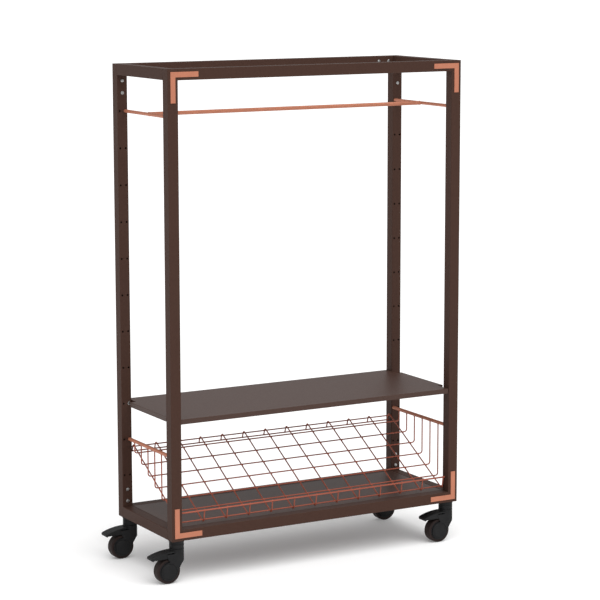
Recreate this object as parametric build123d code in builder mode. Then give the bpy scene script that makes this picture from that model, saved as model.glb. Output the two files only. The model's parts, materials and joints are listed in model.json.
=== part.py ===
from build123d import *
import os
from math import cos, radians, tan

# Rolling clothes rack: a square-tube frame on four braked swivel casters, with a hang rail,
# a sheet-steel shelf, a flush bottom panel and a sloping wire basket, all pegged into rows
# of holes in the posts.
# Millimetres.  X runs along the rack, Y from front to back, Z up from the floor.

os.makedirs("parts", exist_ok=True)

# ------------------------------------------------------------------ driving dimensions
frame_width = 1000.0
frame_depth = 372.0
frame_height = 1385.0
tube = 33.0                 # outside of the square tube
wall = 1.5
caster_height = 128.0       # floor to the underside of the frame

bracket_width = 15.5        # corner brackets: strip width, reach from the corner, thickness
bracket_reach = 98.0
bracket_thickness = 2.0
bracket_round = 0.6
screw_offsets = (50.0, 86.5)    # bracket screws, measured from the frame's outer corner
screw_radius = 2.5
screw_head_radius = 5.3
screw_head_height = 2.8
screw_bite = 1.4            # how far a screw goes into its bracket

peg_rows = 11
peg_pitch = 111.25
peg_first = 132.0           # lowest row above the underside of the frame
peg_inset = 25.5            # inner column of holes, from the post's outer face
peg_spacing = 18.0          # between the two columns
peg_hole_radius = 3.1
spigot_radius = 3.0         # rod and pin ends that sit in the peg holes
spigot_length = 10.0
foot_block_play = 0.2

basket_row, shelf_row, rail_row = 1, 2, 10

panel_sheet = 1.2           # sheet thickness of the shelf and the bottom panel
panel_gap = 1.0             # bottom panel to the rails around it
panel_lip = 9.0
fold_radius = 1.0           # outside of the folded sheet's edges
tab_count = 3               # support tabs along each long rail
tab_pitch = 300.0
tab_width = 30.0
tab_shelf = 18.0
tab_thickness = 2.0

shelf_thickness = 15.0
shelf_top = 364.0           # above the underside of the frame
shelf_end_gap = 3.0         # front and back edges, inside the frame's faces
shelf_side_inset = 15.0     # side edges, from the frame's outer faces
post_gap = 1.0              # shelf and basket wires to the posts' sides
notch_depth = 31.0          # shelf corners, past the posts' inner faces
stiffener_width = 24.0
stiffener_drop = 10.0
stiffener_spacing = 150.0
stiffener_end_gap = 20.0
pin_radius = 4.0
pin_hold = 12.0             # how far a shelf pin reaches into the shelf

arm_radius = 5.0
bar_radius = 6.0

rod_radius = 5.5            # basket side rods
wire_radius = 2.0
rim_radius = 2.5
wire_bend = 8.0
hook_bend = 6.0
cross_wire_count = 13
cross_wire_inset = 40.0     # first cross wire, from the frame's outer face
long_wire_count = 6
long_wire_pitch = 46.2
long_wire_first = 117.8     # y of the rearmost long wire of the basket floor
floor_slope = 30.0          # basket floor, degrees, dropping towards the front
floor_level = 133.0         # cross wires' height at y = 0, above the underside of the frame
basket_front = -161.0       # y where the floor turns up into the front lip
basket_lip_top = (-168.0, 82.5)
basket_back = 159.0         # y where the floor turns down at the back
basket_tail = (167.0, 203.0)
front_wire_offset = (4.6, 8.1)      # from the front fold, the back fold and the tail
back_wire_offset = (-1.7, -7.2)
tail_wire_offset = (-4.2, -0.6)

swivel_inset = 26.0         # caster axis, from the frame's outer faces
stem_radius = 4.0
stem_length = 12.0
stem_flange = 9.0
flange_height = 3.0
stem_head = 9.0
head_height = 3.0
stem_play = 0.4
pivot_radius = 6.0
bearing_radius = 16.5
bearing_top = -10.0         # caster heights are below the underside of the frame
bearing_lip = 2.0
bearing_cone = 4.0
collar_radius = 22.0
collar_rim = 1.0
collar_rim_height = 5.0
collar_height = 24.0
fork_top = -25.0
fork_skirt = -63.0
web_bottom = -39.6
wheel_radius = 37.5
wheel_width = 30.0
tyre_depth = 8.5
tread_round = 2.5
wheel_side_gap = 0.5        # wheel centre's faces, inside the tyre's
wheel_lip = 3.0
wheel_hub = 11.0
wheel_web = 4.0             # half the web's thickness
trail = 32.5                # wheel centre behind the swivel axis
cover_radius = 27.0
leg_inner = 16.0
leg_outer = 20.0
axle_radius = 4.0
axle_inset = 1.0            # axle ends, inside the legs' outer faces
running_gap = 0.05
pedal_reach = 90.0          # pedal tip, from the swivel axis
brake_pivot = (-27.0, -42.0)
trunnion_radius = 3.0
trunnion_inset = 1.5
cheek_radius = 13.5
skirt_radius = 14.3         # the pedal's skirts start this far from its pivot

# ------------------------------------------------------------------ derived places
pedal_overhang = pedal_reach - swivel_inset
frame_x = pedal_overhang / 2        # centres the whole object on X = 0
z_base = caster_height
z_top = z_base + frame_height
half_width = frame_width / 2
half_depth = frame_depth / 2
inner_depth = half_depth - tube     # y of the posts' inner faces
post_x = half_width - tube / 2
post_y = half_depth - tube / 2
peg_x = half_width - peg_inset
rail_length_x = frame_width - 2 * tube
rail_length_y = frame_depth - 2 * tube
wheel_z = wheel_radius - caster_height
sides = {"left": -1, "right": 1}
ends = {"front": -1, "back": 1}
levels = {"bottom": z_base, "top": z_top - tube}


def row_height(row):
    return z_base + peg_first + peg_pitch * row


def save(piece, label):
    piece.part.label = label
    export_step(piece.part, f"parts/{label}.step")


# ------------------------------------------------------------------ posts
def make_post(label, side, end):
    centre_x = frame_x + side * post_x
    screw_heights = [z_base + offset for offset in screw_offsets]
    screw_heights += [z_top - offset for offset in screw_offsets]
    inner_face = Plane.XZ.offset(-end * inner_depth)
    with BuildPart() as post:
        with BuildSketch(Plane.XY.offset(z_base)):
            with Locations((centre_x, end * post_y)):
                Rectangle(tube, tube)
        extrude(amount=frame_height)
        with BuildSketch(Plane.XY.offset(z_base)):
            with Locations((centre_x, end * post_y)):
                Rectangle(tube - 2 * wall, tube - 2 * wall)
        extrude(amount=frame_height - wall, mode=Mode.SUBTRACT)
        with BuildSketch(inner_face):
            with Locations((centre_x, row_height((peg_rows - 1) / 2))):
                with GridLocations(peg_spacing, peg_pitch, 2, peg_rows):
                    Circle(peg_hole_radius)
        extrude(amount=-end * 2 * wall, mode=Mode.SUBTRACT)
        with BuildSketch(inner_face):
            with Locations(*[(centre_x, height) for height in screw_heights]):
                Circle(screw_radius)
        extrude(amount=-end * tube, mode=Mode.SUBTRACT)
        vertical = post.edges().filter_by(Axis.Z).sort_by(Axis.Z)
        outer = vertical.filter_by(lambda edge: edge.length > frame_height - wall / 2)
        fillet(outer, radius=wall)
    save(post, label)


for side_name, side in sides.items():
    for end_name, end in ends.items():
        make_post(f"{end_name}_{side_name}_post", side, end)


# Solid blocks welded into the posts' feet, threaded for the caster stems.
foot_block = tube - 2 * wall - foot_block_play
with BuildPart() as foot_blocks:
    for side in sides.values():
        for end in ends.values():
            with BuildSketch(Plane.XY.offset(z_base)):
                with Locations((frame_x + side * post_x, end * post_y)):
                    Rectangle(foot_block, foot_block)
                swivel = (
                    frame_x + side * (half_width - swivel_inset),
                    end * (half_depth - swivel_inset),
                )
                with Locations(swivel):
                    Circle(stem_radius, mode=Mode.SUBTRACT)
            extrude(amount=stem_length)
save(foot_blocks, "post_foot_blocks")


# ------------------------------------------------------------------ rails
def make_side_rail(label, side, height):
    with BuildPart() as rail:
        with BuildSketch(Plane.XZ.offset(-rail_length_y / 2)):
            with Locations((frame_x + side * post_x, height + tube / 2)):
                RectangleRounded(tube, tube, wall)
                Rectangle(tube - 2 * wall, tube - 2 * wall, mode=Mode.SUBTRACT)
        extrude(amount=rail_length_y)
    save(rail, label)


def make_long_rail(label, end, height):
    with BuildPart() as rail:
        with BuildSketch(Plane.YZ.offset(frame_x - rail_length_x / 2)):
            with Locations((end * post_y, height + tube / 2)):
                RectangleRounded(tube, tube, wall)
                Rectangle(tube - 2 * wall, tube - 2 * wall, mode=Mode.SUBTRACT)
        extrude(amount=rail_length_x)
        screw_places = [
            (frame_x + side * (half_width - offset), height + tube / 2)
            for side in sides.values()
            for offset in screw_offsets
        ]
        with BuildSketch(Plane.XZ.offset(-end * inner_depth)):
            with Locations(*screw_places):
                Circle(screw_radius)
        extrude(amount=-end * tube, mode=Mode.SUBTRACT)
    save(rail, label)


for level_name, height in levels.items():
    for side_name, side in sides.items():
        make_side_rail(f"{side_name}_{level_name}_rail", side, height)
    for end_name, end in ends.items():
        make_long_rail(f"{end_name}_{level_name}_rail", end, height)


# ------------------------------------------------------------------ corner brackets and screws
def corner_point(side, top, along, up):
    """A point measured inwards from a frame corner, on the front or back face."""
    z_corner = z_top if top else z_base
    return (frame_x + side * (half_width - along), z_corner + (-up if top else up))


def screw_points(side, top):
    """The four screws of one bracket: two into the post, two into the long rail."""
    into_post = [corner_point(side, top, tube / 2, offset) for offset in screw_offsets]
    into_rail = [corner_point(side, top, offset, tube / 2) for offset in screw_offsets]
    return into_post + into_rail


bracket_inset = (tube - bracket_width) / 2
bracket_outline = [
    (bracket_inset, bracket_inset),
    (bracket_reach, bracket_inset),
    (bracket_reach, bracket_inset + bracket_width),
    (bracket_inset + bracket_width, bracket_inset + bracket_width),
    (bracket_inset + bracket_width, bracket_reach),
    (bracket_inset, bracket_reach),
]


def make_bracket(label, side, end, top):
    with BuildPart() as bracket:
        with BuildSketch(Plane.XZ.offset(-end * half_depth)):
            with BuildLine():
                Polyline(*[corner_point(side, top, *point) for point in bracket_outline], close=True)
            make_face()
        extrude(amount=-end * bracket_thickness)
        with BuildSketch(Plane.XZ.offset(-end * half_depth)):
            with Locations(*screw_points(side, top)):
                Circle(screw_radius)
        extrude(amount=-end * screw_bite, mode=Mode.SUBTRACT)
        outer_face = bracket.faces().sort_by(Axis.Y)[0 if end < 0 else -1]
        fillet(outer_face.outer_wire().edges(), radius=bracket_round)
    save(bracket, label)


for end_name, end in ends.items():
    for side_name, side in sides.items():
        for level_name in levels:
            label = f"{end_name}_{side_name}_{level_name}_bracket"
            make_bracket(label, side, end, level_name == "top")

with BuildPart() as bracket_screws:
    for side in sides.values():
        for end in ends.values():
            for top in (False, True):
                for x, z in screw_points(side, top):
                    with BuildSketch(Plane.XZ.offset(-end * inner_depth)):
                        with Locations((x, z)):
                            Circle(screw_head_radius)
                    extrude(amount=end * screw_head_height)
                    with BuildSketch(Plane.XZ.offset(-end * inner_depth)):
                        with Locations((x, z)):
                            Circle(screw_radius)
                    extrude(amount=-end * (tube + screw_bite))
save(bracket_screws, "bracket_screws")

# ------------------------------------------------------------------ bottom panel
panel_length = rail_length_x - 2 * panel_gap
panel_width = rail_length_y - 2 * panel_gap
panel_z = z_base + tube
with BuildPart() as bottom_panel:
    with BuildSketch(Plane.XY.offset(panel_z)):
        with Locations((frame_x, 0)):
            RectangleRounded(panel_length, panel_width, panel_gap)
    extrude(amount=-panel_lip)
    with BuildSketch(Plane.XY.offset(panel_z - panel_sheet)):
        with Locations((frame_x, 0)):
            Rectangle(panel_length - 2 * panel_sheet, panel_width - 2 * panel_sheet)
    extrude(amount=panel_sheet - panel_lip, mode=Mode.SUBTRACT)
    fillet(bottom_panel.faces().sort_by(Axis.Z)[-1].outer_wire().edges(), radius=fold_radius)
save(bottom_panel, "bottom_panel")

# Angle tabs welded to the rails; the panel's lips stand on them.
tab_top = panel_z - panel_lip
tab_foot = z_base + wall


def tab_outline(at, inwards):
    """An angle whose upright leg lies on a rail at `at`, and whose shelf points inwards."""
    return [
        (at, tab_top),
        (at + inwards * tab_shelf, tab_top),
        (at + inwards * tab_shelf, tab_top - tab_thickness),
        (at + inwards * tab_thickness, tab_top - tab_thickness),
        (at + inwards * tab_thickness, tab_foot),
        (at, tab_foot),
    ]


with BuildPart() as support_tabs:
    for end in ends.values():
        for index in range(tab_count):
            x = frame_x + (index - (tab_count - 1) / 2) * tab_pitch
            with BuildSketch(Plane.YZ.offset(x - tab_width / 2)):
                with BuildLine():
                    Polyline(*tab_outline(end * inner_depth, -end), close=True)
                make_face()
            extrude(amount=tab_width)
    for side in sides.values():
        wall_x = frame_x + side * (half_width - tube)
        with BuildSketch(Plane.XZ.offset(-tab_width / 2)):
            with BuildLine():
                Polyline(*tab_outline(wall_x, -side), close=True)
            make_face()
        extrude(amount=tab_width)
save(support_tabs, "panel_support_tabs")

# ------------------------------------------------------------------ shelf on its four pins
shelf_z = z_base + shelf_top
between_posts = rail_length_x - 2 * post_gap
ear_width = frame_width - 2 * shelf_side_inset
ear_half_depth = inner_depth - notch_depth
shelf_depth = frame_depth - 2 * shelf_end_gap
pin_z = row_height(shelf_row)
pin_slot = pin_radius + running_gap
with BuildPart() as mid_shelf:
    with BuildSketch(Plane.XY.offset(shelf_z)):
        with Locations((frame_x, 0)):
            Rectangle(between_posts, shelf_depth)
            Rectangle(ear_width, 2 * ear_half_depth)
    extrude(amount=-shelf_thickness)
    with BuildSketch(Plane.XY.offset(shelf_z - panel_sheet)):
        with Locations((frame_x, 0)):
            Rectangle(between_posts - 2 * panel_sheet, shelf_depth - 2 * panel_sheet)
            Rectangle(ear_width - 2 * panel_sheet, 2 * (ear_half_depth - panel_sheet))
    extrude(amount=panel_sheet - shelf_thickness, mode=Mode.SUBTRACT)
    # open slots in the ears' end lips: the shelf drops onto its pins
    with BuildSketch(Plane.XZ.offset(-ear_half_depth)):
        for side in sides.values():
            with Locations((frame_x + side * peg_x, pin_z)):
                Circle(pin_slot)
                Rectangle(2 * pin_slot, 2 * pin_slot, align=(Align.CENTER, Align.MAX))
    extrude(amount=2 * ear_half_depth, mode=Mode.SUBTRACT)
    fillet(mid_shelf.faces().sort_by(Axis.Z)[-1].outer_wire().edges(), radius=fold_radius)
save(mid_shelf, "mid_shelf")

stiffener_length = between_posts - 2 * stiffener_end_gap
with BuildPart() as stiffeners:
    for end in ends.values():
        top = shelf_z - panel_sheet
        inside = stiffener_width - 2 * panel_sheet
        with BuildSketch(Plane.YZ.offset(frame_x - stiffener_length / 2)):
            with Locations((end * stiffener_spacing / 2, top)):
                Rectangle(stiffener_width, stiffener_drop, align=(Align.CENTER, Align.MAX))
                Rectangle(
                    inside,
                    stiffener_drop - panel_sheet,
                    align=(Align.CENTER, Align.MAX),
                    mode=Mode.SUBTRACT,
                )
        extrude(amount=stiffener_length)
save(stiffeners, "mid_shelf_stiffeners")

with BuildPart() as shelf_pins:
    for side in sides.values():
        for end in ends.values():
            place = (frame_x + side * peg_x, pin_z)
            with BuildSketch(Plane.XZ.offset(-end * inner_depth)):
                with Locations(place):
                    Circle(pin_radius)
            extrude(amount=end * (notch_depth + pin_hold))
            with BuildSketch(Plane.XZ.offset(-end * inner_depth)):
                with Locations(place):
                    Circle(spigot_radius)
            extrude(amount=-end * spigot_length)
save(shelf_pins, "shelf_pins")


# ------------------------------------------------------------------ rods pegged between the posts
def make_rod(label, side, row, radius):
    """A round rod from front post to back post with a reduced spigot at each end."""
    place = (frame_x + side * peg_x, row_height(row))
    with BuildPart() as rod:
        with BuildSketch(Plane.XZ):
            with Locations(place):
                Circle(radius)
        extrude(amount=inner_depth, both=True)
        with BuildSketch(Plane.XZ):
            with Locations(place):
                Circle(spigot_radius)
        extrude(amount=inner_depth + spigot_length, both=True)
    save(rod, label)


for side_name, side in sides.items():
    make_rod(f"hang_rail_{side_name}_arm", side, rail_row, arm_radius)
    make_rod(f"basket_{side_name}_rod", side, basket_row, rod_radius)

# The bar's ends are coped round the two arms.
with BuildPart() as hang_bar:
    with BuildSketch(Plane.YZ.offset(frame_x - peg_x)):
        with Locations((0, row_height(rail_row))):
            Circle(bar_radius)
    extrude(amount=2 * peg_x)
    with BuildSketch(Plane.XZ):
        for side in sides.values():
            with Locations((frame_x + side * peg_x, row_height(rail_row))):
                Circle(arm_radius)
    extrude(amount=2 * bar_radius, both=True, mode=Mode.SUBTRACT)
save(hang_bar, "hang_rail_bar")

# ------------------------------------------------------------------ wire basket
floor_rise = tan(radians(floor_slope))
wire_lift = 2 * wire_radius / cos(radians(floor_slope))     # long wires lie on the cross wires
long_wire_y = [long_wire_first - long_wire_pitch * index for index in range(long_wire_count)]


def floor_height(y):
    return z_base + floor_level + floor_rise * y


long_wires = [(y, floor_height(y) + wire_lift) for y in long_wire_y]
wire_end = peg_x - wire_bend
rod_z = row_height(basket_row)

with BuildPart() as basket_long_wires:
    with BuildSketch(Plane.YZ.offset(frame_x - wire_end)):
        with Locations(*long_wires):
            Circle(wire_radius)
    extrude(amount=2 * wire_end)
save(basket_long_wires, "basket_long_wires")


def make_uprights(label, side):
    """The turned-up ends of the long wires, hanging from one side rod."""
    x = frame_x + side * peg_x
    with BuildPart() as uprights:
        for y, z in long_wires:
            with BuildLine(Plane.XZ.offset(-y)) as bend:
                Line((x, rod_z), (x, z + wire_bend))
                JernArc((x, z + wire_bend), (0, -1), wire_bend, -90 * side)
            with BuildSketch(Plane(origin=(x, y, rod_z), z_dir=(0, 0, -1))):
                Circle(wire_radius)
            sweep(path=bend.line)
        with BuildSketch(Plane.XZ):
            with Locations((x, rod_z)):
                Circle(rod_radius)
        extrude(amount=inner_depth, both=True, mode=Mode.SUBTRACT)
    save(uprights, label)


for side_name, side in sides.items():
    make_uprights(f"basket_{side_name}_uprights", side)

cross_wire_path = [
    (basket_tail[0], z_base + basket_tail[1]),
    (basket_back, floor_height(basket_back)),
    (basket_front, floor_height(basket_front)),
    (basket_lip_top[0], z_base + basket_lip_top[1]),
]
cross_wire_span = frame_width - 2 * cross_wire_inset
cross_wire_pitch = cross_wire_span / (cross_wire_count - 1)
with BuildPart() as basket_cross_wires:
    for index in range(cross_wire_count):
        x = frame_x - cross_wire_span / 2 + cross_wire_pitch * index
        with BuildLine(Plane.YZ.offset(x)) as run:
            FilletPolyline(*cross_wire_path, radius=hook_bend)
        with BuildSketch(Plane(origin=run.line @ 0, z_dir=run.line % 0)):
            Circle(wire_radius)
        sweep(path=run.line)
save(basket_cross_wires, "basket_cross_wires")

# Wires along the basket's front and back edges, each lying against the bent cross wires.
front_wire = (basket_front + front_wire_offset[0], floor_height(basket_front) + front_wire_offset[1])
back_wire = (basket_back + back_wire_offset[0], floor_height(basket_back) + back_wire_offset[1])
tail_wire = (basket_tail[0] + tail_wire_offset[0], z_base + basket_tail[1] + tail_wire_offset[1])
rim_wire = (basket_lip_top[0] - wire_radius - rim_radius, z_base + basket_lip_top[1] - rim_radius)
with BuildPart() as edge_wires:
    with BuildSketch(Plane.YZ.offset(frame_x - cross_wire_span / 2 - wire_radius)):
        with Locations(front_wire):
            Circle(wire_radius)
        with Locations(rim_wire):
            Circle(rim_radius)
    extrude(amount=cross_wire_span + 2 * wire_radius)
    with BuildSketch(Plane.YZ.offset(frame_x - between_posts / 2)):
        with Locations(back_wire, tail_wire):
            Circle(wire_radius)
    extrude(amount=between_posts)
save(edge_wires, "basket_edge_wires")

# ------------------------------------------------------------------ casters
casters = {
    f"{end_name}_{side_name}": (
        frame_x + side * (half_width - swivel_inset),
        end * (half_depth - swivel_inset),
    )
    for end_name, end in ends.items()
    for side_name, side in sides.items()
}


def upright_plane(place):
    """Local x is along the rack and local y is height above the frame's underside."""
    return Plane(origin=(place[0], place[1], z_base), x_dir=(1, 0, 0), z_dir=(0, -1, 0))


def swivel_axis(place):
    return Axis((place[0], place[1], z_base), (0, 0, 1))


stem_foot = web_bottom - stem_play
stem_outline = [
    (0, stem_length),
    (stem_radius, stem_length),
    (stem_radius, 0),
    (stem_flange, 0),
    (stem_flange, -flange_height),
    (pivot_radius, -flange_height),
    (pivot_radius, stem_foot),
    (stem_head, stem_foot),
    (stem_head, stem_foot - head_height),
    (0, stem_foot - head_height),
]
collar_outline = [
    (stem_flange, 0),
    (collar_radius + collar_rim, 0),
    (collar_radius + collar_rim, -collar_rim_height),
    (collar_radius, -collar_rim_height - collar_rim),
    (collar_radius, -collar_height),
    (bearing_radius, -collar_height),
    (bearing_radius, bearing_top),
    (pivot_radius, bearing_top),
    (pivot_radius, -flange_height),
    (stem_flange, -flange_height),
]
bearing_outline = [
    (pivot_radius, bearing_top),
    (bearing_radius, bearing_top),
    (bearing_radius, -collar_height),
    (pivot_radius + bearing_lip, -collar_height),
    (pivot_radius, bearing_top - bearing_cone),
]

for label, outline in (
    ("caster_stems", stem_outline),
    ("caster_collars", collar_outline),
    ("swivel_bearings", bearing_outline),
):
    with BuildPart() as turned_parts:
        for place in casters.values():
            with BuildSketch(upright_plane(place)):
                with BuildLine():
                    Polyline(*outline, close=True)
                make_face()
            revolve(axis=swivel_axis(place))
    save(turned_parts, label)

# Outline of one leg of the fork, from its top round the front to the wheel cover.
cheek_top = -38.4
leg_outline = [
    (-30.0, cheek_top),
    (12.0, cheek_top),
    (12.0, fork_skirt),
    (1.0, -81.0),
    (-8.0, -96.0),
    (-trail, wheel_z),
    (-34.0, wheel_z + cover_radius),
    (-36.0, -52.0),
]
wheel_room = wheel_radius + 2.0     # radii of the spaces cut in the fork
head_room = 11.0
arm_room = 9.0
axle_half = leg_outer - axle_inset
above_cheeks = 60.0


def make_fork(label, place):
    upright = upright_plane(place)
    level = Plane(origin=(place[0], place[1], z_base))
    with BuildPart() as fork:
        with BuildSketch(level.offset(fork_top)):
            Circle(collar_radius)
        extrude(amount=fork_skirt - fork_top)
        with BuildSketch(upright):
            with Locations((-trail, wheel_z)):
                Circle(wheel_room)
        extrude(amount=leg_inner, both=True, mode=Mode.SUBTRACT)
        with BuildSketch(upright.offset(leg_inner), upright.offset(-leg_outer)):
            with Locations(brake_pivot):
                Circle(cheek_radius)
            with Locations((-trail, cheek_top)):
                Rectangle(
                    above_cheeks, above_cheeks, align=(Align.CENTER, Align.MIN), mode=Mode.SUBTRACT
                )
            with BuildLine():
                Polyline(*leg_outline, close=True)
            make_face()
            with Locations((-trail, wheel_z)):
                Circle(cover_radius)
        extrude(amount=leg_outer - leg_inner)
        with BuildSketch(upright):
            with Locations(brake_pivot):
                Circle(arm_room)
        extrude(amount=leg_inner, both=True, mode=Mode.SUBTRACT)
        with BuildSketch(level.offset(fork_top)):
            Circle(pivot_radius + running_gap)
        extrude(amount=web_bottom - fork_top, mode=Mode.SUBTRACT)
        with BuildSketch(level.offset(web_bottom)):
            Circle(head_room)
        extrude(amount=fork_skirt - web_bottom, mode=Mode.SUBTRACT)
        with BuildSketch(upright):
            with Locations(brake_pivot):
                Circle(trunnion_radius + running_gap)
            with Locations((-trail, wheel_z)):
                Circle(axle_radius)
        extrude(amount=axle_half, both=True, mode=Mode.SUBTRACT)
    save(fork, label)


def make_axle(label, place):
    with BuildPart() as axle:
        with BuildSketch(upright_plane(place)):
            with Locations((-trail, wheel_z)):
                Circle(axle_radius)
        extrude(amount=axle_half, both=True)
    save(axle, label)


rim_of_wheel = wheel_radius - tyre_depth


def make_wheel(label, place):
    """Moulded wheel centre: hub, thin web and rim, turning on the axle."""
    half = wheel_width / 2 - wheel_side_gap
    with BuildPart() as wheel:
        with BuildSketch(upright_plane(place)):
            with Locations((-trail, wheel_z)):
                Circle(rim_of_wheel)
        extrude(amount=half, both=True)
        for face in (-1, 1):
            with BuildSketch(upright_plane(place).offset(face * half)):
                with Locations((-trail, wheel_z)):
                    Circle(rim_of_wheel - wheel_lip)
                    Circle(wheel_hub, mode=Mode.SUBTRACT)
            extrude(amount=face * (wheel_web - half), mode=Mode.SUBTRACT)
        with BuildSketch(upright_plane(place)):
            with Locations((-trail, wheel_z)):
                Circle(axle_radius + running_gap)
        extrude(amount=half, both=True, mode=Mode.SUBTRACT)
    save(wheel, label)


def make_tyre(label, place):
    with BuildPart() as tyre:
        with BuildSketch(upright_plane(place)):
            with Locations((-trail, wheel_z)):
                Circle(wheel_radius)
                Circle(rim_of_wheel, mode=Mode.SUBTRACT)
        extrude(amount=wheel_width / 2, both=True)
        shoulders = tyre.edges().filter_by(GeomType.CIRCLE)
        shoulders = shoulders.filter_by(lambda edge: edge.radius > wheel_radius - tread_round)
        fillet(shoulders, radius=tread_round)
    save(tyre, label)


pedal_sheet = 3.0
pedal_heel = (-9.0, -30.5)
pedal_crown = (-50.0, -33.6)
pedal_tip = (-pedal_reach, -46.0)
pedal_lip = -50.5
pedal_chin = 2.0            # the tip's front slopes back by this much
skirt_start = -38.0         # the skirts run from here to the tip
hollow_top = [(skirt_start, -35.3), (-62.0, -39.3), (-86.5, -48.0)]
hollow_foot = -52.0
skirt_top = -35.6
arm_half = leg_inner - 0.6
arm_play = 2.0
root_clearance = 0.8
shoe_outline = [
    (-27.0, -36.5),
    (-24.0, -33.0),
    (-52.0, -35.0),
    (-50.0, -42.0),
    (-46.0, -50.0),
    (-40.0, -49.4),
    (-30.0, -46.0),
]


def make_pedal(label, place):
    upright = upright_plane(place)
    level = Plane(origin=(place[0], place[1], z_base))
    with BuildPart() as pedal:
        with BuildSketch(upright):
            with BuildLine():
                ThreePointArc(pedal_heel, pedal_crown, pedal_tip)
                Polyline(
                    pedal_tip,
                    (pedal_tip[0] + pedal_chin, pedal_lip),
                    (skirt_start, pedal_lip),
                    (skirt_start, hollow_top[0][1] + 0.1),
                    (pedal_heel[0], pedal_heel[1] - pedal_sheet),
                    pedal_heel,
                )
            make_face()
        extrude(amount=leg_outer, both=True)
        # the pedal is a hood: hollow between its two skirts
        with BuildSketch(upright):
            with BuildLine():
                ThreePointArc(*hollow_top)
                Polyline(
                    hollow_top[2],
                    (hollow_top[2][0], hollow_foot),
                    (skirt_start, hollow_foot),
                    hollow_top[0],
                )
            make_face()
        extrude(amount=leg_outer - pedal_sheet, both=True, mode=Mode.SUBTRACT)
        # skirts end on an arc round the pivot, so they pass the fork's cheeks
        with BuildSketch(upright):
            with Locations(brake_pivot):
                Circle(skirt_radius)
            with Locations((brake_pivot[0], skirt_top)):
                Rectangle(
                    above_cheeks, above_cheeks, align=(Align.CENTER, Align.MIN), mode=Mode.SUBTRACT
                )
        extrude(amount=leg_outer, both=True, mode=Mode.SUBTRACT)
        with BuildSketch(level):
            Circle(collar_radius + root_clearance)
        extrude(amount=fork_skirt, mode=Mode.SUBTRACT)
        # inner arm with the brake shoe, and the trunnions it swings on
        with BuildSketch(upright):
            with BuildLine():
                Polyline(*shoe_outline, close=True)
            make_face()
            with Locations(brake_pivot):
                Circle(arm_room - arm_play)
        extrude(amount=arm_half, both=True)
        with BuildSketch(upright):
            with Locations(brake_pivot):
                Circle(trunnion_radius)
        extrude(amount=leg_outer - trunnion_inset, both=True)
    save(pedal, label)


for caster, place in casters.items():
    make_fork(f"{caster}_fork", place)
    make_axle(f"{caster}_axle", place)
    make_wheel(f"{caster}_wheel", place)
    make_tyre(f"{caster}_tyre", place)
    make_pedal(f"{caster}_brake_pedal", place)
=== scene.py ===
import json
import math

import bpy
import numpy as np
from mathutils import Matrix, Vector

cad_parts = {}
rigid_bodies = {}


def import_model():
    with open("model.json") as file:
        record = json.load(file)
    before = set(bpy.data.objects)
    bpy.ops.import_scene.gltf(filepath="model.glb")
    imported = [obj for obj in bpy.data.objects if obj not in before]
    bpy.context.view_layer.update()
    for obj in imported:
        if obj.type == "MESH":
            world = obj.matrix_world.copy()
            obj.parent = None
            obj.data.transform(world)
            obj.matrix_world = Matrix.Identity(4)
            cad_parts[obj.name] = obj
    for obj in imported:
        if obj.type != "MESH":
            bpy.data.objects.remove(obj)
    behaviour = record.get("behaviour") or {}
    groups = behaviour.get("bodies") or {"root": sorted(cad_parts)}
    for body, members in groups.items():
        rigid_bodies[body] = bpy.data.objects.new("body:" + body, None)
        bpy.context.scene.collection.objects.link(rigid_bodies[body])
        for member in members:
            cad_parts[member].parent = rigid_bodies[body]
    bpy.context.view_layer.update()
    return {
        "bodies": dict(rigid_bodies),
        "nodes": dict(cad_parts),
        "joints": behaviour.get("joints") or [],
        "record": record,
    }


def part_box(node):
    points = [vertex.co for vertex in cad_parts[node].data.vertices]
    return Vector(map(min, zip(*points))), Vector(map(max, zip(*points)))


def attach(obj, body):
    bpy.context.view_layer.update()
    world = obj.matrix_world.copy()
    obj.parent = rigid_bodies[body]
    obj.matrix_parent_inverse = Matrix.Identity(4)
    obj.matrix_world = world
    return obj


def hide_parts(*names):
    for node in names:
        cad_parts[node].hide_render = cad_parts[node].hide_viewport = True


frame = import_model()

MM = 0.001

# ------------------------------------------------------------------ places taken from the frame
post_low, post_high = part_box("front_left_post")
rack_low = Vector((post_low.x, post_low.y, post_low.z))
rack_high = Vector((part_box("back_right_post")[1].x, -post_low.y, post_high.z))
UNDERSIDE = rack_low.z
TUBE = post_high.x - post_low.x
INNER_Y = rack_high.y - TUBE
JOINTS = {joint["name"]: joint for joint in frame["joints"]}
CASTERS = [name[: -len("_swivel")] for name in frame["bodies"] if name.endswith("_swivel")]


def middle_and_size(node):
    """Middle and size of a CAD node's box."""
    low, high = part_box(node)
    return (low + high) / 2, high - low


# ------------------------------------------------------------------ mesh tools
class Mesh:
    """Gathers vertices and faces, and turns them into one piece."""

    def __init__(self):
        self.points = []
        self.faces = []
        self.count = 0

    def add(self, points, faces, matrix=None):
        points = np.asarray(points, float)
        if matrix is not None:
            m = np.array(matrix)
            points = points @ m[:3, :3].T + m[:3, 3]
        self.faces += [tuple(int(i) + self.count for i in face) for face in faces]
        self.points.append(points)
        self.count += len(points)

    def piece(self, name, material, body, slot, replaces=(), sharp=35.0):
        mesh = bpy.data.meshes.new(name)
        mesh.from_pydata(np.concatenate(self.points).tolist(), [], self.faces)
        mesh.validate()
        mesh.shade_smooth()
        mesh.set_sharp_from_angle(angle=math.radians(sharp))
        mesh.materials.append(material)
        thing = bpy.data.objects.new(name, mesh)
        bpy.context.scene.collection.objects.link(thing)
        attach(thing, body)
        if replaces:
            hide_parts(*replaces)
        return thing


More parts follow.
